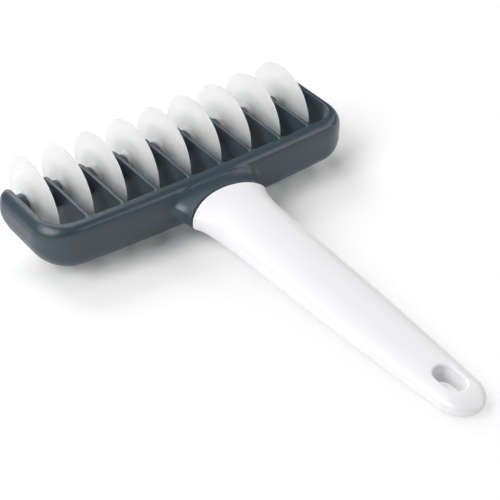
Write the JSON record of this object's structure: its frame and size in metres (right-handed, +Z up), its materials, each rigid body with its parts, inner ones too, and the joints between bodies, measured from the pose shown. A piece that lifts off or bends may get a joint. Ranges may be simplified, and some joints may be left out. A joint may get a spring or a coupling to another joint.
{
  "type": "pastry roller cutter",
  "caption": "Hand pastry cutter: a row of loose cutting discs on one axle in a finned comb head, with a slip-on handle that has a hang hole.",
  "frame": {"origin": "on the table, under the middle of the outline of the tool as it lies on its discs and on the heel of its handle", "axes": "+X along the axle, +Y from the handle towards the cutting discs, +Z up from the table"},
  "size_m": [0.1258, 0.1704, 0.0325],
  "materials": {
    "head_plastic": "satin",
    "disc_plastic": "smooth",
    "handle_plastic": "glossy",
    "axle_steel": "bright"
  },
  "bodies": {
    "tool": {"head_frame": "head_plastic", "handle": "handle_plastic", "axle": "axle_steel", "axle_plug": "head_plastic"},
    "disc_1": {"disc_1": "disc_plastic"},
    "disc_2": {"disc_2": "disc_plastic"},
    "disc_3": {"disc_3": "disc_plastic"},
    "disc_4": {"disc_4": "disc_plastic"},
    "disc_5": {"disc_5": "disc_plastic"},
    "disc_6": {"disc_6": "disc_plastic"},
    "disc_7": {"disc_7": "disc_plastic"},
    "disc_8": {"disc_8": "disc_plastic"},
    "disc_9": {"disc_9": "disc_plastic"}
  },
  "joints": [
    {"name": "disc_1_spin", "type": "hinge", "parent": "tool", "child": "disc_1", "pos_m": [-0.052, 0.06896, 0.01625], "axis": [1, 0, 0], "continuous": true},
    {"name": "disc_2_spin", "type": "hinge", "parent": "tool", "child": "disc_2", "pos_m": [-0.039, 0.06896, 0.01625], "axis": [1, 0, 0], "continuous": true},
    {"name": "disc_3_spin", "type": "hinge", "parent": "tool", "child": "disc_3", "pos_m": [-0.026, 0.06896, 0.01625], "axis": [1, 0, 0], "continuous": true},
    {"name": "disc_4_spin", "type": "hinge", "parent": "tool", "child": "disc_4", "pos_m": [-0.013, 0.06896, 0.01625], "axis": [1, 0, 0], "continuous": true},
    {"name": "disc_5_spin", "type": "hinge", "parent": "tool", "child": "disc_5", "pos_m": [0, 0.06896, 0.01625], "axis": [1, 0, 0], "continuous": true},
    {"name": "disc_6_spin", "type": "hinge", "parent": "tool", "child": "disc_6", "pos_m": [0.013, 0.06896, 0.01625], "axis": [1, 0, 0], "continuous": true},
    {"name": "disc_7_spin", "type": "hinge", "parent": "tool", "child": "disc_7", "pos_m": [0.026, 0.06896, 0.01625], "axis": [1, 0, 0], "continuous": true},
    {"name": "disc_8_spin", "type": "hinge", "parent": "tool", "child": "disc_8", "pos_m": [0.039, 0.06896, 0.01625], "axis": [1, 0, 0], "continuous": true},
    {"name": "disc_9_spin", "type": "hinge", "parent": "tool", "child": "disc_9", "pos_m": [0.052, 0.06896, 0.01625], "axis": [1, 0, 0], "continuous": true}
  ]
}
